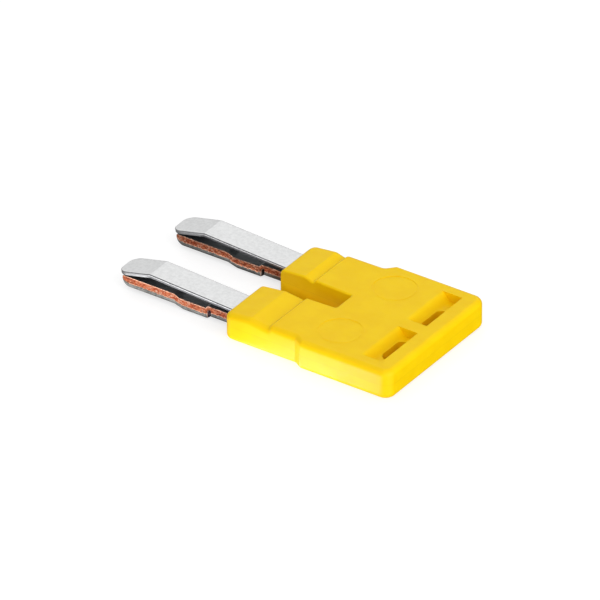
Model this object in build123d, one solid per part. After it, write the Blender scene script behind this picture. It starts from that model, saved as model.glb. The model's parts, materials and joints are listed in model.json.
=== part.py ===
from build123d import *
import os
from math import acos, atan2, cos, hypot, sin, tan

# Two-pole plug-in bridge for rail-mounted terminal blocks.
# A copper comb with two blades is clamped between two moulded shells.
# A leaf spring lies on each blade and bows up, so that the blade jams in its contact.
#
# Frame: +X runs from the blade tips to the head, +Y to the right-hand blade, +Z up.
# The origin is the middle of the whole footprint, on the plane of the flat underside.

# ---- Terminal system ----
pitch = 12.0                 # between the two blades, centre to centre
blade_width = 4.0

# ---- Housing, both shells together ----
body_length = 25.7           # arm fronts to the back of the head
body_thickness = 4.2
arm_inner_wall = 1.8         # inside a blade, at the arm front
left_front_wall = 2.45       # outside a blade, at the arm front
right_front_wall = 1.65
left_shoulder_wall = 2.4     # outside a blade, where the arm meets the head
right_shoulder_wall = 1.85
head_wall = 3.1              # outside a blade, along the head
shoulder_start = 10.9        # arm front to where the side steps out
shoulder_run = 1.15
shoulder_radius = 0.55
front_corner_radius = 1.15
back_corner_radius = 1.5
notch_depth = 11.35          # the gap between the arms
notch_taper = 0.45           # how much each side of it closes in
notch_corner_radius = 0.25
top_edge_radius = 0.85
notch_edge_radius = 0.3
bottom_edge_radius = 0.75

# ---- Nose of each arm: its top falls from a crest to the front and to a valley behind it ----
nose_crest = 3.9             # arm front to the crest
nose_drop = 0.4              # at the front
left_valley = 6.65           # arm front to the valley's bottom
right_valley = 5.25
valley_depth = 0.42
valley_back_run = 0.45
nose_crease_radius = 0.3

# ---- Pockets at the back of the head, for a finger or a screwdriver ----
pocket_depth = 1.25
pocket_run = 3.2
pocket_scoop_run = 1.7       # length of the sloping front
pocket_back_wall = 2.4
pocket_side_wall = 2.0
pocket_rib = 2.0             # between the two pockets
slot_length = 4.9            # lever slot through the pocket's floor
slot_width = 1.9
slot_offset = 0.95           # rib to the slot

# ---- Round marks on the top ----
mark_radius = 3.0
mark_spacing = 12.2
mark_from_front = 15.0
mark_dish_depth = 0.03
mark_groove_width = 0.3
mark_groove_depth = 0.06

# ---- Copper comb ----
comb_floor = 0.6             # thickness of the shell under the comb
comb_thickness = 1.5
comb_reach = 17.3            # arm front to the blade's tip
comb_tip_radius = 1.1        # lower corner of the tip
comb_tip_break = 0.15        # upper corner of the tip
web_start = 13.0             # the bar that joins the blades, from the arm front
web_end = 19.0
web_corner_radius = 1.0
detent_front = 9.3           # pressed-down stretch of the blade, ahead of the arm front
detent_back = 4.1
detent_drop = 0.4
detent_front_run = 0.75      # slope on the upper face
detent_heel_run = 1.4        # slope on the lower face
detent_back_run = 0.3
detent_radius = 0.12

# ---- Leaf springs ----
leaf_width = 4.0
leaf_thickness = 0.5
leaf_reach = 18.2            # arm front to the spring's tip
leaf_bend = 13.0             # arm front to the bend
bend_height = 3.65           # top of the bend above the underside
leaf_tip_radius = 1.45
anchor_front = 6.0           # inside the arm, where the leaf starts to rise
anchor_back = 12.2
leaf_gap = 0.02              # between the segments of a leaf, and under them
leaf_headroom = 0.15         # over the rising leaf, inside the arm

# ---- Pins that hold the shells, comb and springs in line ----
pin_radius = 0.75
pin_height = 3.3             # top of a pin above the underside
pin_chamfer = 0.15
arm_pin = 9.2                # arm front to the pin through a spring's anchor
web_pin = 16.0               # arm front to the pin through the bar
pin_clearance = 0.06
socket_headroom = 0.1
seat_clearance = 0.05        # around and over the comb and the anchors

# ---- Worked out ----
half_pitch = pitch / 2
half_blade = blade_width / 2
comb_top = comb_floor + comb_thickness
anchor_top = comb_top + leaf_thickness
parting_height = comb_top + seat_clearance
arm_inner = half_pitch - half_blade - arm_inner_wall
blade_outer = half_pitch + half_blade
front_outer = {-1: blade_outer + left_front_wall, 1: blade_outer + right_front_wall}
shoulder_outer = {-1: blade_outer + left_shoulder_wall, 1: blade_outer + right_shoulder_wall}
valley_x = {-1: left_valley, 1: right_valley}
head_half = blade_outer + head_wall
notch_half = arm_inner - notch_taper
front_x = (leaf_reach - body_length) / 2
back_x = front_x + body_length
shoulder_x = front_x + shoulder_start
notch_x = front_x + notch_depth
pocket_back_x = back_x - pocket_back_wall
pocket_front_x = pocket_back_x - pocket_run
pocket_floor = body_thickness - pocket_depth
anchor_x = front_x + anchor_front
bend_x = front_x - leaf_bend
leaf_tip_x = front_x - leaf_reach
blade_tip_x = front_x - comb_reach
pin_places = [
    (front_x + arm_pin, -half_pitch),
    (front_x + arm_pin, half_pitch),
    (front_x + web_pin, 0),
]
blades = {"left": -half_pitch, "right": half_pitch}


def leaf_slope(run):
    """Slope of a leaf that falls from the bend, so that its underside meets the blade after a run."""
    rise = bend_height - comb_top - leaf_gap
    return acos(leaf_thickness / hypot(run, rise)) - atan2(run, rise)


leg_slope = leaf_slope(anchor_x - bend_x)
tip_slope = leaf_slope(bend_x - blade_tip_x)


def block(x_range, y_range, z_range):
    """Plain block between two corners."""
    ranges = (x_range, y_range, z_range)
    size = [high - low for low, high in ranges]
    centre = [(low + high) / 2 for low, high in ranges]
    return Pos(*centre) * Box(*size)


def across(outline, centre_y, width):
    """Solid of one side view, drawn in X and Z, with a width along Y."""
    face = Plane.XZ * make_face(outline)
    return Pos(0, centre_y, 0) * extrude(face, amount=width / 2, both=True)


def upright(radius, place, bottom, top):
    """Round bar standing on a place in plan."""
    return Pos(*place, (bottom + top) / 2) * Cylinder(radius, top - bottom)


def rounded(corners):
    """Closed outline from corner points, each with its own radius."""
    points = [point for point, _ in corners]
    radii = [radius for _, radius in corners]
    return FilletPolyline(*points, radius=radii, close=True)


def mirrored(side_corners):
    """Closed outline from its corners on one side, from the middle out, as a function of the side."""
    left = [((x, -y), radius) for (x, y), radius in reversed(side_corners(-1))]
    return rounded(side_corners(1) + left)


# ---- Housing ----


def nose_cut(side):
    """Cutter above the nose of one arm: the fall to the front, and the valley behind the crest."""
    crest = (front_x + nose_crest, body_thickness)
    bottom_x = front_x + valley_x[side]
    above = body_thickness + valley_depth
    points = [
        (front_x, body_thickness - nose_drop),
        crest,
        (bottom_x, body_thickness - valley_depth),
        (bottom_x + valley_back_run, body_thickness),
        (bottom_x + valley_back_run, above),
        (front_x, above),
    ]
    middle_y = side * (head_half + notch_half) / 2
    return across(Polyline(*points, close=True), middle_y, head_half - notch_half)


def housing_corners(side):
    """Corners of the housing's plan on one side."""
    return [
        ((notch_x, notch_half), notch_corner_radius),
        ((front_x, arm_inner), 0),
        ((front_x, front_outer[side]), front_corner_radius),
        ((shoulder_x, shoulder_outer[side]), shoulder_radius),
        ((shoulder_x + shoulder_run, head_half), shoulder_radius),
        ((back_x, head_half), back_corner_radius),
    ]


def housing_block():
    """Plan outline at full thickness, with both noses cut, before its edges are rounded."""
    solid = extrude(make_face(mirrored(housing_corners)), amount=body_thickness)
    return solid - nose_cut(-1) - nose_cut(1)


def is_top(edge):
    """Edges of the upper face, down to the bottom of the valleys."""
    is_level = edge.bounding_box().size.Z < 2 * valley_depth
    return is_level and edge.center().Z > body_thickness - 2 * valley_depth


def is_crease(edge):
    """Creases of the noses, which run across an arm."""
    spot = edge.center()
    is_behind_front = front_x + top_edge_radius < spot.X < shoulder_x
    return is_top(edge) and is_behind_front and edge.bounding_box().size.Y > blade_width


def is_inner(edge):
    """Edges around the notch."""
    spot = edge.center()
    return abs(spot.Y) < arm_inner + notch_edge_radius and spot.X < notch_x + notch_corner_radius


def housing():
    """Outside of both shells as one solid. The notch keeps crisper edges than the outside."""
    solid = housing_block()
    solid = fillet(solid.edges().filter_by(is_crease), nose_crease_radius)
    outer = [edge for edge in solid.edges() if is_top(edge) and not is_inner(edge) and not is_crease(edge)]
    solid = fillet(outer, top_edge_radius)
    inner = [edge for edge in solid.edges() if is_top(edge) and is_inner(edge)]
    solid = fillet(inner, notch_edge_radius)
    underside = solid.faces().sort_by(Axis.Z)[0]
    return fillet(underside.edges(), bottom_edge_radius)


def pocket(side):
    """Cutter for one pocket: a scooped front, a square back and a lever slot through the floor."""
    start = (pocket_front_x, body_thickness)
    foot = (pocket_front_x + pocket_scoop_run, pocket_floor)
    scoop_mid = pocket_front_x + pocket_scoop_run / 2
    outline = [
        Bezier(start, (scoop_mid, body_thickness), (scoop_mid, pocket_floor), foot),
        Polyline(foot, (pocket_back_x, pocket_floor), (pocket_back_x, body_thickness), start),
    ]
    rib_half = pocket_rib / 2
    pocket_half = head_half - pocket_side_wall
    bowl = across(outline, side * (rib_half + pocket_half) / 2, pocket_half - rib_half)
    slot_y = side * (rib_half + slot_offset + slot_length / 2)
    slot = Rot(0, 0, 90) * SlotOverall(slot_length, slot_width)
    slot_cut = Pos(pocket_back_x - slot_width / 2, slot_y, 0) * extrude(slot, amount=body_thickness)
    return bowl + slot_cut


def mark(side):
    """Cutter for one plain round mark: a shallow dish with a groove around its rim."""
    place = (front_x + mark_from_front, side * mark_spacing / 2)
    dish = upright(mark_radius, place, body_thickness - mark_dish_depth, body_thickness)
    rim = upright(mark_radius, place, body_thickness - mark_groove_depth, body_thickness)
    island = upright(mark_radius - mark_groove_width, place, 0, body_thickness)
    return dish + (rim - island)


# ---- Comb ----


def comb_slab(clearance, bottom, top):
    """The comb's plan, grown by a clearance, with a thickness."""
    half_width = half_blade + clearance
    heel_x = front_x + web_end + clearance
    bar_x = front_x + web_start - clearance

    def corners(side):
        return [
            ((bar_x, half_pitch - half_width), 0),
            ((blade_tip_x, half_pitch - half_width), 0),
            ((blade_tip_x, half_pitch + half_width), 0),
            ((heel_x, half_pitch + half_width), web_corner_radius),
        ]

    return Pos(0, 0, bottom) * extrude(make_face(mirrored(corners)), amount=top - bottom)


def blade(centre_y):
    """One blade ahead of the bar, with its rounded tip and its pressed-down stretch."""
    drop_x = front_x - detent_front
    return_x = front_x - detent_back
    heel_x = front_x + web_start + web_corner_radius
    corners = [
        ((heel_x, comb_floor), 0),
        ((heel_x, comb_top), 0),
        ((return_x, comb_top), detent_radius),
        ((return_x - detent_back_run, comb_top - detent_drop), detent_radius),
        ((drop_x + detent_front_run, comb_top - detent_drop), detent_radius),
        ((drop_x, comb_top), detent_radius),
        ((blade_tip_x, comb_top), comb_tip_break),
        ((blade_tip_x, comb_floor), comb_tip_radius),
        ((drop_x, comb_floor), detent_radius),
        ((drop_x + detent_heel_run, comb_floor - detent_drop), detent_radius),
        ((return_x, comb_floor - detent_drop), detent_radius),
        ((return_x + detent_back_run, comb_floor), detent_radius),
    ]
    return across(rounded(corners), centre_y, blade_width)


def pin_holes():
    """Cutters for the pins, wherever a pin passes through or ends in a socket."""
    top = pin_height + socket_headroom
    return [upright(pin_radius + pin_clearance, place, comb_floor, top) for place in pin_places]


def copper_comb():
    """Two blades joined by a bar."""
    behind_front = block((front_x, back_x), (-head_half, head_half), (0, body_thickness))
    root = comb_slab(0, comb_floor, comb_top) & behind_front
    return root + [blade(y) for y in blades.values()] - pin_holes()


# ---- Leaf springs ----


def spring_anchor(centre_y):
    """Flat end of a leaf, which lies on the comb inside the arm."""
    ends = (anchor_x, front_x + anchor_back)
    flat = block(ends, (centre_y - leaf_width / 2, centre_y + leaf_width / 2), (comb_top, anchor_top))
    return flat - pin_holes()


def joint_foot():
    """Lower end of the cut through the bend, square to the mean of both slopes."""
    mean_slope = (leg_slope - tip_slope) / 2
    length = leaf_thickness / cos((leg_slope + tip_slope) / 2)
    return (bend_x - length * sin(mean_slope), bend_height - length * cos(mean_slope))


def spring_leg(centre_y):
    """Long straight stretch of a leaf, from the anchor up to the bend."""
    foot_x, foot_z = joint_foot()
    start_x = anchor_x - leaf_gap
    rise = tan(leg_slope)
    points = [
        (start_x, bend_height - rise * (start_x - bend_x)),
        (bend_x + leaf_gap, bend_height - rise * leaf_gap),
        (foot_x + leaf_gap, foot_z),
        (start_x, foot_z - rise * (start_x - foot_x)),
    ]
    return across(Polyline(*points, close=True), centre_y, leaf_width)


def spring_tip(centre_y):
    """Short stretch of a leaf, from the bend down to the blade's tip, with rounded corners."""
    foot_x, foot_z = joint_foot()
    fall = tan(tip_slope)
    points = [
        (bend_x, bend_height),
        (leaf_tip_x, bend_height - fall * (bend_x - leaf_tip_x)),
        (leaf_tip_x, foot_z - fall * (foot_x - leaf_tip_x)),
        (foot_x, foot_z),
    ]
    slab = across(Polyline(*points, close=True), centre_y, leaf_width)
    half_width = leaf_width / 2
    corners = [
        ((bend_x + leaf_thickness, centre_y - half_width), 0),
        ((bend_x + leaf_thickness, centre_y + half_width), 0),
        ((leaf_tip_x, centre_y + half_width), leaf_tip_radius),
        ((leaf_tip_x, centre_y - half_width), leaf_tip_radius),
    ]
    return slab & extrude(make_face(rounded(corners)), amount=body_thickness)


def leaf_room(centre_y):
    """Cutter inside the upper shell: a slot for the anchor, and a wedge for the rising leaf."""
    back = front_x + anchor_back + seat_clearance
    ceiling = anchor_top + seat_clearance
    ahead_x = bend_x
    rise = tan(leg_slope)
    points = [
        (back, comb_top),
        (back, ceiling),
        (anchor_x, ceiling),
        (anchor_x, bend_height - rise * (anchor_x - bend_x) + leaf_headroom),
        (ahead_x, bend_height + leaf_headroom),
        (ahead_x, comb_top),
    ]
    return across(Polyline(*points, close=True), centre_y, leaf_width + 2 * seat_clearance)


# ---- Shells ----


def shells():
    """Upper and lower shell, parted at the top of the comb."""
    outside = housing() - [cut(side) for cut in (pocket, mark) for side in (-1, 1)]
    width = (-head_half, head_half)
    lower_half = block((front_x, back_x), width, (0, parting_height))
    lower = (outside & lower_half) - comb_slab(seat_clearance, comb_floor, body_thickness)
    upper = outside - lower_half - [leaf_room(y) for y in blades.values()] - pin_holes()
    pins = [upright(pin_radius, place, 0, pin_height) for place in pin_places]
    for pin in pins:
        rim = pin.edges().sort_by(Axis.Z)[-1]
        lower += chamfer(rim, pin_chamfer)
    return upper, lower


upper_shell, lower_shell = shells()
nodes = {"upper_shell": upper_shell, "lower_shell": lower_shell, "copper_comb": copper_comb()}
for side, blade_y in blades.items():
    nodes[f"{side}_spring_anchor"] = spring_anchor(blade_y)
    nodes[f"{side}_spring_leg"] = spring_leg(blade_y)
    nodes[f"{side}_spring_tip"] = spring_tip(blade_y)

os.makedirs("parts", exist_ok=True)
for name, solid in nodes.items():
    export_step(solid, f"parts/{name}.step")
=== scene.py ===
import json
from math import acos, atan2, cos, hypot, pi, radians, sin, sqrt

import bpy
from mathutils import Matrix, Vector, noise


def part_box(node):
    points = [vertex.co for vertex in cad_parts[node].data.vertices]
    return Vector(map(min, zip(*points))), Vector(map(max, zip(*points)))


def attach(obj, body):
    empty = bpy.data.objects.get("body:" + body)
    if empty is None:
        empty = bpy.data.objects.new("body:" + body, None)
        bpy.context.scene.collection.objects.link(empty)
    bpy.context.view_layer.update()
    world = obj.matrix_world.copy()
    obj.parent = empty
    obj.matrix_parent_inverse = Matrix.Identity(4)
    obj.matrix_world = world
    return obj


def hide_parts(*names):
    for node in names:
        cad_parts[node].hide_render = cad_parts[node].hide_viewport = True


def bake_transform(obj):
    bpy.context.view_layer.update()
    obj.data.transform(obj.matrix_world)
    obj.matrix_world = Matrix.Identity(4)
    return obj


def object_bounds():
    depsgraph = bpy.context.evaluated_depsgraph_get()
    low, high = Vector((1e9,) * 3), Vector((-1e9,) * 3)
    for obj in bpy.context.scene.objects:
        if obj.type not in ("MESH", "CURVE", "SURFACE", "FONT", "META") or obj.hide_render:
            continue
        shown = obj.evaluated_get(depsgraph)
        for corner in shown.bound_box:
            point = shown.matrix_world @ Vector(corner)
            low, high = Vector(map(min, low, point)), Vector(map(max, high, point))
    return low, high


# Looks of the two-pole plug-in bridge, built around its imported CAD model. Metres, same frame as the CAD.
# The shells keep their CAD shape, with even shading, and the hidden spring anchors stay as they are.
# The comb gets blades with sheared edges, and each leaf spring becomes one continuous strip.

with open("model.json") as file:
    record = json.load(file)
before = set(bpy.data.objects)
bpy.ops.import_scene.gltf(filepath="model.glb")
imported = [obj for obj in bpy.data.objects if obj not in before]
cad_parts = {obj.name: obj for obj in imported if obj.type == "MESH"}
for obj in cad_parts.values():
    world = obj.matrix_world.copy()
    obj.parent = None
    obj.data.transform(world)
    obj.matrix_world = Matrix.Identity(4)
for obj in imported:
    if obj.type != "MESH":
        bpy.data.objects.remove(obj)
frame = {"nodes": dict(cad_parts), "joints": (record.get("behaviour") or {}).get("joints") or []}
cad_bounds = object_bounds()

MM = 0.001
SIDES = ("left", "right")

# ---- Places, from the frame ----
comb_low, comb_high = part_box("copper_comb")
shell_low, shell_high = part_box("upper_shell")
anchor_low, anchor_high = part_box("left_spring_anchor")
joints = {joint["name"]: joint for joint in frame["joints"]}
bend = Vector(joints["left_spring_flatten"]["pos_m"])
front_x = shell_low.x
blade_tip_x = comb_low.x
comb_top = comb_high.z
leaf_thickness = anchor_high.z - anchor_low.z
half_leaf = (anchor_high.y - anchor_low.y) / 2
leaf_tip_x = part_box("left_spring_tip")[0].x
leaf_root_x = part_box("left_spring_leg")[1].x
blade_y = {side: joints[f"{side}_spring_flatten"]["pos_m"][1] for side in SIDES}


# ---- Mesh helpers ----

WELD = 0.0005 * MM             # points closer than this are one


def make_object(name, vertices, faces):
    """Mesh object from points and faces."""
    mesh = bpy.data.meshes.new(name)
    mesh.from_pydata([tuple(point) for point in vertices], [], faces)
    mesh.validate()
    piece = bpy.data.objects.new(name, mesh)
    bpy.context.scene.collection.objects.link(piece)
    return piece


def loft(name, rings):
    """Closed skin over rings of equally many points, with a flat cap on each end."""
    count = len(rings[0])
    vertices = [point for ring in rings for point in ring]
    faces = [list(range(count))[::-1]]
    for ring in range(len(rings) - 1):
        start = ring * count
        for step in range(count):
            after = (step + 1) % count
            faces.append([start + step, start + after, start + count + after, start + count + step])
    last = (len(rings) - 1) * count
    faces.append([last + step for step in range(count)])
    return make_object(name, vertices, faces)


def store(piece, name, values):
    """Writes one number per point, for a material to read."""
    attribute = piece.data.attributes.new(name, "FLOAT", "POINT")
    attribute.data.foreach_set("value", values)


def smooth_shaded(piece, crease_degrees):
    """Smooth shading, with edges kept crisp where they turn by more than the crease angle."""
    mesh = piece.data
    mesh.shade_smooth()
    mesh.set_sharp_from_angle(angle=radians(crease_degrees))


def apply_modifiers(piece):
    """Replaces a piece's mesh by its modified one."""
    graph = bpy.context.evaluated_depsgraph_get()
    mesh = bpy.data.meshes.new_from_object(piece.evaluated_get(graph))
    piece.modifiers.clear()
    piece.data = mesh


def combine(piece, other, operation):
    """Boolean of two solids. The other one is used up."""
    modifier = piece.modifiers.new("combine", "BOOLEAN")
    modifier.operation = operation
    modifier.solver = "EXACT"
    modifier.object = other
    apply_modifiers(piece)
    bpy.data.objects.remove(other)


def welded_copy(node):
    """Copy of a CAD node's mesh with its split points joined, as a solid of its own."""
    piece = frame["nodes"][node].copy()
    piece.data = frame["nodes"][node].data.copy()
    piece.parent = None
    for key in list(piece.keys()):
        del piece[key]
    bpy.context.scene.collection.objects.link(piece)
    weld = piece.modifiers.new("weld", "WELD")
    weld.merge_threshold = WELD
    apply_modifiers(piece)
    if "custom_normal" in piece.data.attributes:
        piece.data.attributes.remove(piece.data.attributes["custom_normal"])
    return piece


def spread(low, high, count):
    """Evenly spaced numbers, ends included."""
    return [low + (high - low) * step / (count - 1) for step in range(count)]


def clamp(value):
    """The value, held between 0 and 1."""
    return min(1.0, max(0.0, value))


def ramp(value, low, high):
    """Smooth step from 0 at low to 1 at high."""
    share = clamp((value - low) / (high - low))
    return share * share * (3 - 2 * share)


# ---- Material helpers ----


class Graph:
    """Short way to write a node tree."""

    def __init__(self, name):
        self.material = bpy.data.materials.new(name)
        self.material.use_nodes = True
        self.tree = self.material.node_tree
        self.shader = self.tree.nodes["Principled BSDF"]
        coordinates = self.add("ShaderNodeTexCoord")
        self.place = coordinates.outputs["Object"]
        self.normal = coordinates.outputs["Normal"]

    def add(self, kind, **values):
        """New node with some of its properties set."""
        node = self.tree.nodes.new(kind)
        for name, value in values.items():
            setattr(node, name, value)
        return node

    def link(self, source, target):
        self.tree.links.new(source, target)

    def noise(self, size, detail=3.0, roughness=0.55, stretch=(1, 1, 1), seed=0.0):
        """Noise from 0 to 1, whose features are about as large as the size."""
        mapping = self.add("ShaderNodeMapping")
        mapping.inputs["Location"].default_value = (seed, seed * 0.7, seed * 1.3)
        mapping.inputs["Scale"].default_value = [1 / (size * share) for share in stretch]
        texture = self.add("ShaderNodeTexNoise")
        texture.inputs["Scale"].default_value = 1.0
        texture.inputs["Detail"].default_value = detail
        texture.inputs["Roughness"].default_value = roughness
        self.link(self.place, mapping.inputs["Vector"])
        self.link(mapping.outputs["Vector"], texture.inputs["Vector"])
        return texture.outputs["Fac"]

    def facing(self, axis):
        """How far the surface faces along an axis of the object, from -1 to 1."""
        split = self.add("ShaderNodeSeparateXYZ")
        self.link(self.normal, split.inputs["Vector"])
        return split.outputs[axis]

    def remap(self, source, low, high, to_low, to_high):
        """Smooth change from one range to another."""
        node = self.add("ShaderNodeMapRange", interpolation_type="SMOOTHSTEP")
        self.link(source, node.inputs["Value"])
        for socket, value in (("From Min", low), ("From Max", high), ("To Min", to_low), ("To Max", to_high)):
            node.inputs[socket].default_value = value
        return node.outputs["Result"]

    def math(self, operation, first, second):
        """Result of a calculation with two values, each a number or a socket."""
        node = self.add("ShaderNodeMath", operation=operation)
        for socket, value in zip(node.inputs, (first, second)):
            if isinstance(value, (int, float)):
                socket.default_value = value
            else:
                self.link(value, socket)
        return node.outputs[0]

    def mix(self, factor, first, second, blend="MIX"):
        """Mix of two colours, each a colour or a socket."""
        node = self.add("ShaderNodeMix", data_type="RGBA", blend_type=blend)
        for socket, value in ((node.inputs[0], factor), (node.inputs[6], first), (node.inputs[7], second)):
            if isinstance(value, (int, float)):
                socket.default_value = value
            elif isinstance(value, tuple):
                socket.default_value = (*value, 1.0)
            else:
                self.link(value, socket)
        return node.outputs[2]

    def bump(self, height, depth, strength=1.0, under=None):
        """Normal for a relief of some depth, which can lie on top of another one."""
        node = self.add("ShaderNodeBump")
        node.inputs["Strength"].default_value = strength
        node.inputs["Distance"].default_value = depth
        self.link(height, node.inputs["Height"])
        if under is not None:
            self.link(under, node.inputs["Normal"])
        return node.outputs["Normal"]

    def finish(self, color, roughness, normal, **constants):
        """Links the shader, sets its constants, and gives the material."""
        self.link(color, self.shader.inputs["Base Color"])
        self.link(roughness, self.shader.inputs["Roughness"])
        self.link(normal, self.shader.inputs["Normal"])
        for name, value in constants.items():
            self.shader.inputs[name.replace("_", " ")].default_value = value
        return self.material


# ---- Materials ----

PLASTIC_DARK = (0.93, 0.60, 0.001)
PLASTIC_LIGHT = (0.955, 0.635, 0.002)
PLASTIC_FLOW = (0.90, 0.56, 0.001)
PLASTIC_SEAM = (0.55, 0.30, 0.0)
STEEL_DARK = (0.76, 0.765, 0.765)
STEEL_LIGHT = (0.85, 0.855, 0.855)
STEEL_RUBBED = (0.66, 0.67, 0.68)
STEEL_SIDE_SHADE = (0.10, 0.10, 0.11)
STEEL_UNDERSIDE_SHADE = (0.22, 0.22, 0.22)
COPPER_DEEP = (0.25, 0.05, 0.02)
COPPER_LIGHT = (0.37, 0.115, 0.055)
COPPER_FLECK = (0.68, 0.40, 0.28)
COPPER_NOTCH_SHADE = (0.02, 0.012, 0.01)
TIN_DARK = (0.09, 0.09, 0.085)
TIN_LIGHT = (0.20, 0.20, 0.19)
TIN_TOP = (0.40, 0.42, 0.43)
FLOOR_DARK = (0.38, 0.38, 0.38)
FLOOR_LIGHT = (0.40, 0.40, 0.40)
SHADE_DARK = (0.42, 0.18, 0.01)
SHADE_LIGHT = (0.45, 0.20, 0.01)


def yellow_plastic(seed):
    """Moulded yellow plastic: faint clouding, a fine grained skin, and a hairline where the shells meet."""
    graph = Graph("yellow_plastic")
    cloud = graph.noise(3.2 * MM, detail=2.0, seed=seed)
    color = graph.mix(graph.remap(cloud, 0.35, 0.65, 0.0, 1.0), PLASTIC_DARK, PLASTIC_LIGHT)
    flow = graph.noise(0.9 * MM, detail=3.0, stretch=(4, 1, 1), seed=seed + 3)
    color = graph.mix(graph.remap(flow, 0.5, 0.8, 0.0, 0.35), color, PLASTIC_FLOW)
    height = graph.add("ShaderNodeSeparateXYZ")
    graph.link(graph.place, height.inputs["Vector"])
    from_seam = graph.math("ABSOLUTE", graph.math("SUBTRACT", height.outputs["Z"], shell_low.z), 0.0)
    seam = graph.remap(from_seam, 0.006 * MM, 0.03 * MM, 1.0, 0.0)
    color = graph.mix(graph.math("MULTIPLY", seam, 0.3), color, PLASTIC_SEAM)
    grain = graph.noise(0.06 * MM, detail=2.0, seed=seed + 5)
    waviness = graph.noise(1.6 * MM, detail=1.0, seed=seed + 7)
    normal = graph.bump(waviness, 0.02 * MM, 0.6)
    normal = graph.bump(grain, 0.002 * MM, 0.5, under=normal)
    roughness = graph.remap(graph.noise(0.7 * MM, seed=seed + 9), 0.3, 0.7, 0.34, 0.46)
    constants = {"Specular_IOR_Level": 0.13, "Subsurface_Weight": 0.12, "Subsurface_Scale": 0.5 * MM}
    constants["Subsurface_Radius"] = (1.0, 0.55, 0.1)
    return graph.finish(color, roughness, normal, **constants)


def spring_steel():
    """Satin rolled steel: light, with a fine faint mottle and rubbed marks, and painted shade along its sheared
    sides and on its underside.
    """
    graph = Graph("spring_steel")
    mottle = graph.noise(0.42 * MM, detail=4.0, roughness=0.6)
    color = graph.mix(graph.remap(mottle, 0.3, 0.7, 0.0, 1.0), STEEL_DARK, STEEL_LIGHT)
    lines = graph.noise(0.10 * MM, detail=3.0, stretch=(14, 1, 1), seed=2)
    rubbed = graph.noise(0.30 * MM, detail=2.0, stretch=(1, 5, 1), seed=4)
    color = graph.mix(graph.remap(rubbed, 0.62, 0.8, 0.0, 0.3), color, STEEL_RUBBED)
    # Painted shade and dark reflection on the leaf's sheared sides, read from the sheared attribute.
    shear = graph.add("ShaderNodeAttribute", attribute_name="sheared").outputs["Fac"]
    color = graph.mix(graph.math("MULTIPLY", shear, 0.9), color, STEEL_SIDE_SHADE)
    # Painted shade: darker where the steel faces downwards.
    color = graph.mix(graph.remap(graph.facing("Z"), -0.9, -0.6, 0.9, 0.0), color, STEEL_UNDERSIDE_SHADE)
    normal = graph.bump(lines, 0.003 * MM, 0.5)
    normal = graph.bump(mottle, 0.006 * MM, 0.4, under=normal)
    roughness = graph.remap(graph.noise(0.5 * MM, seed=6), 0.3, 0.7, 0.34, 0.46)
    return graph.finish(color, roughness, normal, Metallic=1.0)


def tinned_copper():
    """Tin-plated copper whose sheared sides are bare: torn and speckled, with tin dragged over their lower part."""
    graph = Graph("tinned_copper")
    bare = graph.add("ShaderNodeAttribute", attribute_name="bare").outputs["Fac"]
    sideways = graph.remap(graph.math("ABSOLUTE", graph.facing("Y"), 0.0), 0.25, 0.5, 0.0, 1.0)
    torn = graph.noise(0.55 * MM, detail=4.0, roughness=0.7, stretch=(1.3, 1, 0.8))
    fleck = graph.noise(0.30 * MM, detail=3.0, roughness=0.6, seed=3)
    copper = graph.mix(graph.remap(torn, 0.42, 0.58, 0.0, 1.0), COPPER_DEEP, COPPER_LIGHT)
    copper = graph.mix(graph.remap(fleck, 0.54, 0.66, 0.0, 0.7), copper, COPPER_FLECK)
    rim = graph.math("MULTIPLY", graph.remap(bare, 0.3, 0.6, 0.0, 1.0), graph.remap(bare, 0.7, 0.98, 1.0, 0.0))
    copper = graph.mix(graph.math("MULTIPLY", rim, 0.8), copper, COPPER_FLECK)
    tin_cloud = graph.noise(0.8 * MM, detail=4.0, stretch=(2, 1, 1), seed=5)
    tin = graph.mix(graph.remap(tin_cloud, 0.3, 0.7, 0.0, 1.0), TIN_DARK, TIN_LIGHT)
    tin = graph.mix(graph.remap(graph.facing("Z"), 0.6, 0.9, 0.0, 0.85), tin, TIN_TOP)
    edge = graph.math("ADD", bare, graph.math("MULTIPLY", graph.math("SUBTRACT", torn, 0.5), 0.9))
    share = graph.math("MULTIPLY", graph.remap(edge, 0.35, 0.55, 0.0, 1.0), sideways)
    color = graph.mix(share, tin, copper)
    pit = graph.add("ShaderNodeAttribute", attribute_name="pit").outputs["Fac"]
    lip = graph.math("MULTIPLY", graph.remap(pit, 0.02, 0.12, 0.0, 1.0), graph.remap(pit, 0.2, 0.35, 1.0, 0.0))
    color = graph.mix(graph.math("MULTIPLY", lip, sideways), color, COPPER_FLECK)
    # Painted shade: near black deep in the burr notch.
    color = graph.mix(graph.remap(pit, 0.25, 0.6, 0.0, 0.95), color, COPPER_NOTCH_SHADE)
    normal = graph.bump(torn, 0.05 * MM, 0.6)
    roughness = graph.remap(fleck, 0.3, 0.7, 0.3, 0.5)
    return graph.finish(color, roughness, normal, Metallic=1.0)


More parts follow.
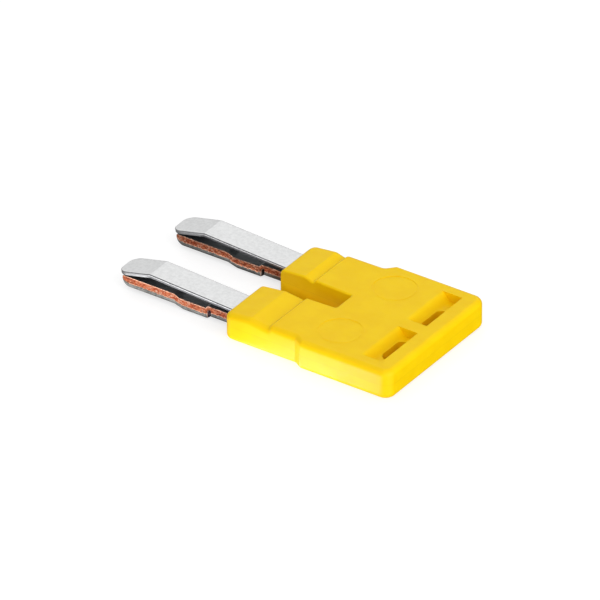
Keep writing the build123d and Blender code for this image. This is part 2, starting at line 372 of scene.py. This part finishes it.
def white_floor():
    """Matt white, seen from above only, so that the underside of the object can be looked at."""
    graph = Graph("white_floor")
    paper = graph.noise(4 * MM, detail=2.0)
    color = graph.mix(graph.remap(paper, 0.3, 0.7, 0.0, 1.0), FLOOR_DARK, FLOOR_LIGHT)
    graph.link(color, graph.shader.inputs["Base Color"])
    graph.shader.inputs["Roughness"].default_value = 0.9
    graph.shader.inputs["Emission Color"].default_value = (1, 1, 1, 1)
    graph.shader.inputs["Emission Strength"].default_value = FLOOR_GLOW
    graph.shader.inputs["Specular IOR Level"].default_value = 0.0
    clear = graph.add("ShaderNodeBsdfTransparent")
    choice = graph.add("ShaderNodeMixShader")
    graph.link(graph.add("ShaderNodeNewGeometry").outputs["Backfacing"], choice.inputs[0])
    graph.link(graph.shader.outputs[0], choice.inputs[1])
    graph.link(clear.outputs[0], choice.inputs[2])
    graph.link(choice.outputs[0], graph.tree.nodes["Material Output"].inputs["Surface"])
    return graph.material


# ---- Shells ----

SHELL_CREASE = 30              # degrees; sharper edges stay crisp


def moulded_shell(node, name, material):
    """A shell as in the CAD model, with even shading over its flats and fillets."""
    piece = welded_copy(node)
    piece.name = name
    smooth_shaded(piece, SHELL_CREASE)
    weighted = piece.modifiers.new("weighted", "WEIGHTED_NORMAL")
    weighted.keep_sharp = True
    weighted.weight = 100
    apply_modifiers(piece)
    piece.data.materials.clear()
    piece.data.materials.append(material)
    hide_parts(node)
    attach(piece, "housing")


# ---- Leaf springs ----

LEAF_GAP = 0.02 * MM           # under the leaf's two ends
TIP_CORNER = 1.45 * MM         # corners of the tip in plan
BEND_RADIUS = 1.2 * MM
LEAF_TOP_EDGE = 0.12 * MM      # rounded by the shear
LEAF_LOW_EDGE = 0.05 * MM
LEAF_CREASE = 50               # degrees
LEAF_TOP_POINTS = 13           # of a ring: its upper face, then a side of 10 points, its underside, the other side
LEAF_SIDE_POINTS = 10
LEAF_LOW_POINTS = 9            # across the underside, with those that its edges share
# Side points that get the strongest painted shade.
LEAF_DARK_STEPS = (0, 1, 2, 5, 6, 7, 8, 9)  # of a side, counted downwards: its rounded upper edge, its lower half


def leaf_slope(run):
    """Slope of a leaf that falls from the bend, so that its underside meets the blade after a run."""
    rise = bend.z - comb_top - LEAF_GAP
    return acos(leaf_thickness / hypot(run, rise)) - atan2(run, rise)


def leaf_path():
    """Stations along the leaf's upper face, as (x, z, slope), from the root over the bend to the tip."""
    leg = leaf_slope(joints["left_spring_press"]["pos_m"][0] - bend.x)
    tip = -leaf_slope(bend.x - blade_tip_x)
    reach = BEND_RADIUS * (leg - tip) / 2
    stations = []
    for x in spread(leaf_root_x, bend.x + reach, 76):
        stations.append((x, bend.z - (x - bend.x) * sin(leg) / cos(leg), leg))
    for share in spread(0, 1, 9)[1:-1]:
        slope = leg + (tip - leg) * share
        x = bend.x + reach * (1 - 2 * share)
        drop = BEND_RADIUS * (1 - cos((leg - tip) / 2)) * 0.5
        height = bend.z - drop - abs(x - bend.x) * (sin(leg) if x > bend.x else -sin(tip)) * abs(2 * share - 1)
        stations.append((x, height, slope))
    end_run = bend.x - reach - leaf_tip_x
    for share in spread(0, 1, 40):
        x = bend.x - reach - end_run * sin(share * pi / 2)
        stations.append((x, bend.z + (x - bend.x) * -sin(tip) / cos(tip), tip))
    return stations


def leaf_ring(station, centre_y, end_x):
    """Cross-section of the leaf: flat faces, rounded long edges, narrower towards the tip's corners."""
    x, z, slope = station
    from_end = (x - end_x) / cos(slope)
    inset = 0.0
    if from_end < TIP_CORNER:
        inset = TIP_CORNER - sqrt(max(0.0, TIP_CORNER**2 - (TIP_CORNER - from_end) ** 2))
    end_round = 0.0
    if from_end < LEAF_TOP_EDGE:
        end_round = LEAF_TOP_EDGE - sqrt(max(0.0, LEAF_TOP_EDGE**2 - (LEAF_TOP_EDGE - from_end) ** 2))
    half = half_leaf - inset
    section = []
    for share in spread(-1, 1, LEAF_TOP_POINTS):
        section.append((share * (half - LEAF_TOP_EDGE), -end_round))
    for turn in spread(0, pi / 2, 5)[1:]:
        section.append((half - LEAF_TOP_EDGE * (1 - sin(turn)), -LEAF_TOP_EDGE * (1 - cos(turn)) - end_round))
    for share in (0.2, 0.4):
        depth = LEAF_TOP_EDGE + (leaf_thickness - LEAF_TOP_EDGE - LEAF_LOW_EDGE) * share
        section.append((half, -depth))
    for turn in spread(0, pi / 2, 4):
        low = -leaf_thickness + LEAF_LOW_EDGE * (1 - sin(turn)) + end_round
        section.append((half - LEAF_LOW_EDGE * (1 - cos(turn)), low))
    mirror = [(-y, depth) for y, depth in reversed(section[LEAF_TOP_POINTS:])]
    low_y = [share * (half - LEAF_LOW_EDGE) for share in spread(1, -1, LEAF_LOW_POINTS)[1:-1]]
    ring = section + [(y, -leaf_thickness + end_round) for y in low_y] + mirror
    normal = Vector((sin(slope), 0, cos(slope)))
    return [Vector((x, centre_y + y, z)) + normal * depth for y, depth in ring]


def leaf_side_step(index, count):
    """Place of a ring's point on its side, counted downwards, or None on the upper face and the underside."""
    for step in (index - LEAF_TOP_POINTS, count - 1 - index):
        if 0 <= step < LEAF_SIDE_POINTS:
            return step
    return None


def leaf_spring(side, material):
    """One continuous strip, which bends where its leg meets its tip."""
    stations = leaf_path()
    rings = [leaf_ring(station, blade_y[side], stations[-1][0]) for station in stations]
    piece = loft(f"{side}_leaf_spring", rings)
    # Painted shade on the leaf's sheared sides: full on the rounded upper edge and the lower half along the leg,
    # slight between them, and an even middle amount over all of the tip's sides.
    side_shade_levels = []
    for ring in rings:
        on_tip = 1 - ramp(ring[0].x, bend.x - MM, bend.x)
        for index in range(len(ring)):
            step = leaf_side_step(index, len(ring))
            if step is None:
                side_shade_levels.append(0.0)
            elif step in LEAF_DARK_STEPS:
                side_shade_levels.append(1.0 - 0.35 * on_tip)
            else:
                side_shade_levels.append(0.2 + 0.45 * on_tip)
    store(piece, "sheared", side_shade_levels)
    smooth_shaded(piece, LEAF_CREASE)
    piece.data.materials.append(material)
    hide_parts(f"{side}_spring_leg", f"{side}_spring_tip")
    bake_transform(piece)


# ---- Comb ----

BLADE_STEP = 0.07 * MM
COMB_FLOOR = 0.6 * MM          # underside of the blade, away from the pressed-down stretch
DETENT_FRONT = 9.3 * MM        # pressed-down stretch, ahead of the arm front
DETENT_BACK = 4.1 * MM
DETENT_FRONT_RUN = 0.75 * MM
DETENT_HEEL_RUN = 1.4 * MM
DETENT_BACK_RUN = 0.3 * MM
DETENT_SOFTNESS = 0.12 * MM
TIP_RADIUS = 1.1 * MM
TIP_BREAK = 0.15 * MM
ROLLOVER = 0.2 * MM            # rounded lower edge of the sheared side
BLADE_ROOT = 2.0 * MM          # how far a blade reaches into the comb's root
ROOT_CUT = 1.0 * MM
ROOT_SHRINK = 0.02 * MM
TORN_DEPTH = 0.05 * MM
DRAGGED_SHARE = 0.38           # share of the side's height that tin is dragged over
BURR_DEPTH = 0.4 * MM          # small notch in the side, at the back end of the pressed-down stretch
BURR_HALF_RUN = 0.3 * MM
BORDER_GRAIN = 0.35 * MM       # length of the waves in the border between tin and copper
CHIP_RUN = 0.25 * MM           # size of the torn chips, along the blade and up its side
CHIP_HEIGHT = 0.16 * MM
COMB_CREASE = 38               # degrees
SIDE_ROWS = (0, 0.015, 0.04, 0.075, 0.12, 0.19, 0.27, 0.35, 0.42, 0.49, 0.56, 0.64, 0.72, 0.8, 0.88, 0.94, 0.98, 1)

half_blade = comb_high.y - blade_y["right"]
BLADE_SEED = {"left": 11.0, "right": 47.0}


def pressed(x, corners):
    """Share by which the blade is pressed down at x, between the four corners of the pressed stretch."""
    start, down, up, end = corners
    if x < start or x > end:
        return 0.0
    if x < down:
        return (x - start) / (down - start)
    if x > up:
        return (end - x) / (end - up)
    return 1.0


def softened(x, corners):
    """The same, averaged over a short stretch, which rounds its corners."""
    samples = spread(x - DETENT_SOFTNESS, x + DETENT_SOFTNESS, 7)
    return sum(pressed(sample, corners) for sample in samples) / len(samples)


def blade_heights(x):
    """Lower and upper face of the blade at x."""
    drop = COMB_FLOOR - comb_low.z
    first, last = front_x - DETENT_FRONT, front_x - DETENT_BACK
    upper = (first, first + DETENT_FRONT_RUN, last - DETENT_BACK_RUN, last)
    lower = (first, first + DETENT_HEEL_RUN, last, last + DETENT_BACK_RUN)
    top = comb_top - drop * softened(x, upper)
    bottom = COMB_FLOOR - drop * softened(x, lower)
    from_tip = x - blade_tip_x
    if from_tip < TIP_RADIUS:
        bottom += TIP_RADIUS - sqrt(max(0.0, TIP_RADIUS**2 - (TIP_RADIUS - from_tip) ** 2))
    if from_tip < TIP_BREAK:
        top -= TIP_BREAK - sqrt(max(0.0, TIP_BREAK**2 - (TIP_BREAK - from_tip) ** 2))
    shrink = ROOT_SHRINK * ramp(x, front_x + ROOT_CUT / 2, front_x + ROOT_CUT)
    return bottom + shrink, top - shrink


def sheared_side(x, share, height, seed):
    """How far the side is set in at a share of its height, how bare its copper is there, and the notch's depth."""
    low = share * height
    inset = 0.0
    if low < ROLLOVER:
        inset = ROLLOVER - sqrt(max(0.0, ROLLOVER**2 - (ROLLOVER - low) ** 2))
    ragged = noise.noise(Vector((x / BORDER_GRAIN, seed, 0)))
    border = DRAGGED_SHARE + 0.10 * ragged
    torn = ramp(share, border - 0.05, border + 0.08)
    chips = noise.fractal(Vector((x / CHIP_RUN, seed + 5, low / CHIP_HEIGHT)), 0.9, 2.0, 4)
    inset += torn * TORN_DEPTH * (0.75 + 0.9 * chips)
    inset -= 0.25 * TORN_DEPTH * ramp(share, 0.93, 1.0)
    pit = burr_notch(x, share)
    inset += BURR_DEPTH * pit
    bare = torn * (1 - pit) * (1 - 0.35 * ramp(share, 0.86, 0.96))
    return max(inset, 0.0), bare, pit


def burr_notch(x, share):
    """Depth share of the small notch in the lower half of the side, at the back end of the pressed stretch."""
    notch_x = front_x - DETENT_BACK + DETENT_BACK_RUN / 2
    return max(0.0, 1 - ((x - notch_x) / BURR_HALF_RUN) ** 2) * ramp(0.66 - share, 0.0, 0.2)


def blade_ring(x, centre_y, seed):
    """Cross-section of a blade."""
    bottom, top = blade_heights(x)
    height = top - bottom
    half = half_blade - ROOT_SHRINK * ramp(x, front_x + ROOT_CUT / 2, front_x + ROOT_CUT)
    sides = {1: [], -1: []}
    for side in (1, -1):
        for share in SIDE_ROWS:
            inset = sheared_side(x, share, height, seed + side)[0]
            sides[side].append((side * (half - inset), bottom + share * height))
    top_y = spread(sides[1][-1][0], sides[-1][-1][0], 11)[1:-1]
    low_y = spread(sides[-1][0][0], sides[1][0][0], 11)[1:-1]
    ring = sides[1] + [(y, top) for y in top_y] + sides[-1][::-1] + [(y, bottom) for y in low_y]
    return [Vector((x, centre_y + y, z)) for y, z in ring]


def blade(side):
    """One blade, from its tip to inside the comb's root, with torn sheared sides."""
    length = front_x + BLADE_ROOT - blade_tip_x
    near_tip = [blade_tip_x + TIP_RADIUS * (1 - cos(turn)) for turn in spread(0, pi / 2, 14)]
    rest = spread(near_tip[-1], blade_tip_x + length, int((length - TIP_RADIUS) / BLADE_STEP))
    rings = [blade_ring(x, blade_y[side], BLADE_SEED[side]) for x in reversed(near_tip + rest[1:])]
    return loft(f"{side}_blade", rings)


def side_marks(point):
    """How bare the copper is at a point of the comb, and how deep in the burr notch it lies."""
    if point.x > front_x + ROOT_CUT:
        return 0.0, 0.0
    side = "left" if point.y < 0 else "right"
    bottom, top = blade_heights(point.x)
    share = clamp((point.z - bottom) / (top - bottom))
    outwards = 1 if point.y > blade_y[side] else -1
    return sheared_side(point.x, share, top - bottom, BLADE_SEED[side] + outwards)[1:]


def front_block():
    """Solid ahead of the cut through the blades' roots."""
    low = Vector((blade_tip_x - MM, comb_low.y - MM, -MM))
    high = Vector((front_x + ROOT_CUT, comb_high.y + MM, comb_top + MM))
    ring = [(low.y, low.z), (high.y, low.z), (high.y, high.z), (low.y, high.z)]
    return loft("front_block", [[Vector((x, y, z)) for y, z in ring] for x in (low.x, high.x)])


def copper_comb(material):
    """The stamping: its root as in the CAD model, with detailed blades."""
    piece = welded_copy("copper_comb")
    piece.name = "stamped_comb"
    combine(piece, front_block(), "DIFFERENCE")
    for side in SIDES:
        combine(piece, blade(side), "UNION")
    marks = [side_marks(vertex.co) for vertex in piece.data.vertices]
    store(piece, "bare", [bare for bare, _ in marks])
    store(piece, "pit", [pit for _, pit in marks])
    piece.data.materials.clear()
    piece.data.materials.append(material)
    for polygon in piece.data.polygons:
        polygon.material_index = 0
    smooth_shaded(piece, COMB_CREASE)
    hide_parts("copper_comb")
    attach(piece, "housing")


# ---- Stage: floor, light and camera ----

FIELD = 76.18 * MM             # width of the view at the object
CAMERA_DISTANCE = 1.5
FLOOR_GLOW = 0.7               # keeps the shadow on the floor faint
AZIMUTH = radians(34.375)
ELEVATION = radians(32.227)
SENSOR = 36.0
AIM_RIGHT = 0.511 * MM         # middle of the view, from the aim point on the housing
AIM_UP = -0.30 * MM
AIM_BEHIND_FRONT = 4.0 * MM
FLOOR_HALF = 1.5
FLOOR_DROP = 0.02 * MM         # floor below the object
SHADE_DROP = 0.3 * MM          # shade cards below the object
NOTCH_X = (front_x - 5 * MM, front_x + 11.3 * MM)  # openings that a shade card lies under
NOTCH_Y = (-2.6 * MM, 2.4 * MM)
SLOT_X = (shell_high.x - 4.3 * MM, shell_high.x - 2.4 * MM)
SLOT_Y = {"left": (-6.85 * MM, -1.95 * MM), "right": (1.95 * MM, 6.85 * MM)}
AMBIENT = 0.38                 # level of the surroundings in all directions
LOBES = [  # direction, inner and outer angle in degrees, level
    ((0, 0, 1), 20, 90, 0.17),               # overhead softbox
    ((-0.35, 0.65, 0.68), 5, 50, 0.76),      # far side, mirrored by the flat tops
    ((-0.1, -1.0, 0.15), 5, 60, 0.2),        # low light along the near side
    ((-1.0, 0.0, 0.6), 10, 50, 0.3),         # front, for the noses
    ((1.0, -0.4, 0.2), 10, 60, 2.5),         # low light at the back of the head
    ((-0.5, -0.5, 0.7), 5, 40, -0.3),        # dark patch, mirrored by the near rounded edges
    ((0.5, 0.7, -0.5), 10, 50, -0.35),       # dark table at the far side, mirrored by the back of the head
]
KEY_TOWARDS = (-0.2, -0.5, 1.0)
KEY_DISTANCE = 0.5
KEY_SIZE = 0.4
KEY_POWER = 0.45
CARDS = {  # middle, size and aim point in mm, level, colour
    "near_card": ((8, -22, -7), (29, 3.5), (15, -11, 2), 13.0, (0.9, 0.70, 1.45)),
    "blade_card": ((-20, -18, -6), (18, 7), (-14, -8, 1), 2.6, (1.0, 1.0, 1.0)),
}


def level_card(name, x_range, y_range, drop):
    """Level rectangle, some way below the object."""
    z = cad_bounds[0].z - drop
    (x0, x1), (y0, y1) = x_range, y_range
    return make_object(name, [(x0, y0, z), (x1, y0, z), (x1, y1, z), (x0, y1, z)], [[0, 1, 2, 3]])


def floor():
    """Floor that neither lights the object, nor is mirrored by it, nor shades it."""
    piece = level_card("floor", (-FLOOR_HALF, FLOOR_HALF), (-FLOOR_HALF, FLOOR_HALF), FLOOR_DROP)
    piece.data.materials.append(white_floor())
    piece.visible_diffuse = False
    piece.visible_glossy = False
    piece.visible_shadow = False


def shade(name, x_range, y_range):
    """Warm dark card under an opening, unseen by the camera, which keeps light from shining up through it."""
    piece = level_card(name, x_range, y_range, SHADE_DROP)
    graph = Graph(name)
    # Mottled warm dark colour of a card that stands in for the shaded table and its warm bounce.
    shade_mottle = graph.noise(MM)
    graph.link(graph.mix(shade_mottle, SHADE_DARK, SHADE_LIGHT), graph.shader.inputs["Base Color"])
    graph.shader.inputs["Roughness"].default_value = 1.0
    piece.data.materials.append(graph.material)
    piece.visible_camera = False


def studio_world():
    """Soft studio surroundings, brighter in some directions, and plain white where the camera sees them."""
    world = bpy.data.worlds.new("studio")
    world.use_nodes = True
    bpy.context.scene.world = world
    tree = world.node_tree
    tree.nodes.clear()
    direction = tree.nodes.new("ShaderNodeTexCoord").outputs["Generated"]

    def lobe(towards, inner, outer, level):
        """Level within the inner angle of a direction, fading to nothing at the outer one."""
        dot = tree.nodes.new("ShaderNodeVectorMath")
        dot.operation = "DOT_PRODUCT"
        dot.inputs[1].default_value = Vector(towards).normalized()
        tree.links.new(direction, dot.inputs[0])
        fade = tree.nodes.new("ShaderNodeMapRange")
        fade.interpolation_type = "SMOOTHSTEP"
        fade.inputs["From Min"].default_value = cos(radians(outer))
        fade.inputs["From Max"].default_value = cos(radians(inner))
        fade.inputs["To Max"].default_value = level
        tree.links.new(dot.outputs["Value"], fade.inputs["Value"])
        return fade.outputs["Result"]

    total = None
    for arguments in LOBES:
        part = lobe(*arguments)
        if total is None:
            total = part
            continue
        plus = tree.nodes.new("ShaderNodeMath")
        plus.operation = "ADD"
        tree.links.new(total, plus.inputs[0])
        tree.links.new(part, plus.inputs[1])
        total = plus.outputs[0]
    base = tree.nodes.new("ShaderNodeMath")
    base.operation = "ADD"
    base.inputs[1].default_value = AMBIENT
    tree.links.new(total, base.inputs[0])
    studio = tree.nodes.new("ShaderNodeBackground")
    tree.links.new(base.outputs[0], studio.inputs["Strength"])
    backdrop = tree.nodes.new("ShaderNodeBackground")
    backdrop.inputs["Strength"].default_value = 1.0
    backdrop.inputs["Color"].default_value = (1, 1, 1, 1)
    choice = tree.nodes.new("ShaderNodeMixShader")
    tree.links.new(tree.nodes.new("ShaderNodeLightPath").outputs["Is Camera Ray"], choice.inputs[0])
    tree.links.new(studio.outputs[0], choice.inputs[1])
    tree.links.new(backdrop.outputs[0], choice.inputs[2])
    output = tree.nodes.new("ShaderNodeOutputWorld")
    tree.links.new(choice.outputs[0], output.inputs["Surface"])


def area_lamp(name, middle, towards, size, power):
    """Rectangular area light that faces a point."""
    light = bpy.data.lights.new(name, "AREA")
    light.shape = "RECTANGLE"
    light.size, light.size_y = size
    light.energy = power
    lamp = bpy.data.objects.new(name, light)
    lamp.location = middle
    lamp.rotation_mode = "QUATERNION"
    lamp.rotation_quaternion = (middle - towards).to_track_quat("Z", "Y")
    bpy.context.scene.collection.objects.link(lamp)
    return lamp


def card(name, middle, size, towards, level, color):
    """Glowing card beside the object, which the camera doesn't see."""
    width, height = (share * MM for share in size)
    lamp = area_lamp(name, Vector(middle) * MM, Vector(towards) * MM, (width, height), level * pi * width * height)
    lamp.data.color = color
    lamp.visible_camera = False


def camera():
    """Long lens, so that the view is almost parallel."""
    data = bpy.data.cameras.new("camera")
    data.sensor_width = SENSOR
    data.lens = SENSOR * CAMERA_DISTANCE / FIELD
    data.clip_end = 10.0
    back = Vector((sin(AZIMUTH) * cos(ELEVATION), -cos(AZIMUTH) * cos(ELEVATION), sin(ELEVATION)))
    right = Vector((cos(AZIMUTH), sin(AZIMUTH), 0))
    aim = Vector((front_x + AIM_BEHIND_FRONT, 0, shell_high.z / 2))
    aim += right * AIM_RIGHT + back.cross(right) * AIM_UP
    eye = bpy.data.objects.new("camera", data)
    eye.rotation_mode = "QUATERNION"
    eye.rotation_quaternion = back.to_track_quat("Z", "Y")
    eye.location = aim + back * CAMERA_DISTANCE
    bpy.context.scene.collection.objects.link(eye)
    bpy.context.scene.camera = eye


# ---- Assembly ----

steel = spring_steel()
moulded_shell("upper_shell", "upper_moulding", yellow_plastic(0.0))
moulded_shell("lower_shell", "lower_moulding", yellow_plastic(20.0))
for side in SIDES:
    frame["nodes"][f"{side}_spring_anchor"].data.materials[0] = steel
    leaf_spring(side, steel)
copper_comb(tinned_copper())
floor()
shade("notch_shade", NOTCH_X, NOTCH_Y)
for side, y_range in SLOT_Y.items():
    shade(f"{side}_slot_shade", SLOT_X, y_range)
studio_world()
key_place = Vector(KEY_TOWARDS).normalized() * KEY_DISTANCE
area_lamp("key", key_place, Vector((0, 0, 0)), (KEY_SIZE, KEY_SIZE), KEY_POWER)
for name, arguments in CARDS.items():
    card(name, *arguments)
camera()
bpy.context.scene.view_settings.view_transform = "Standard"
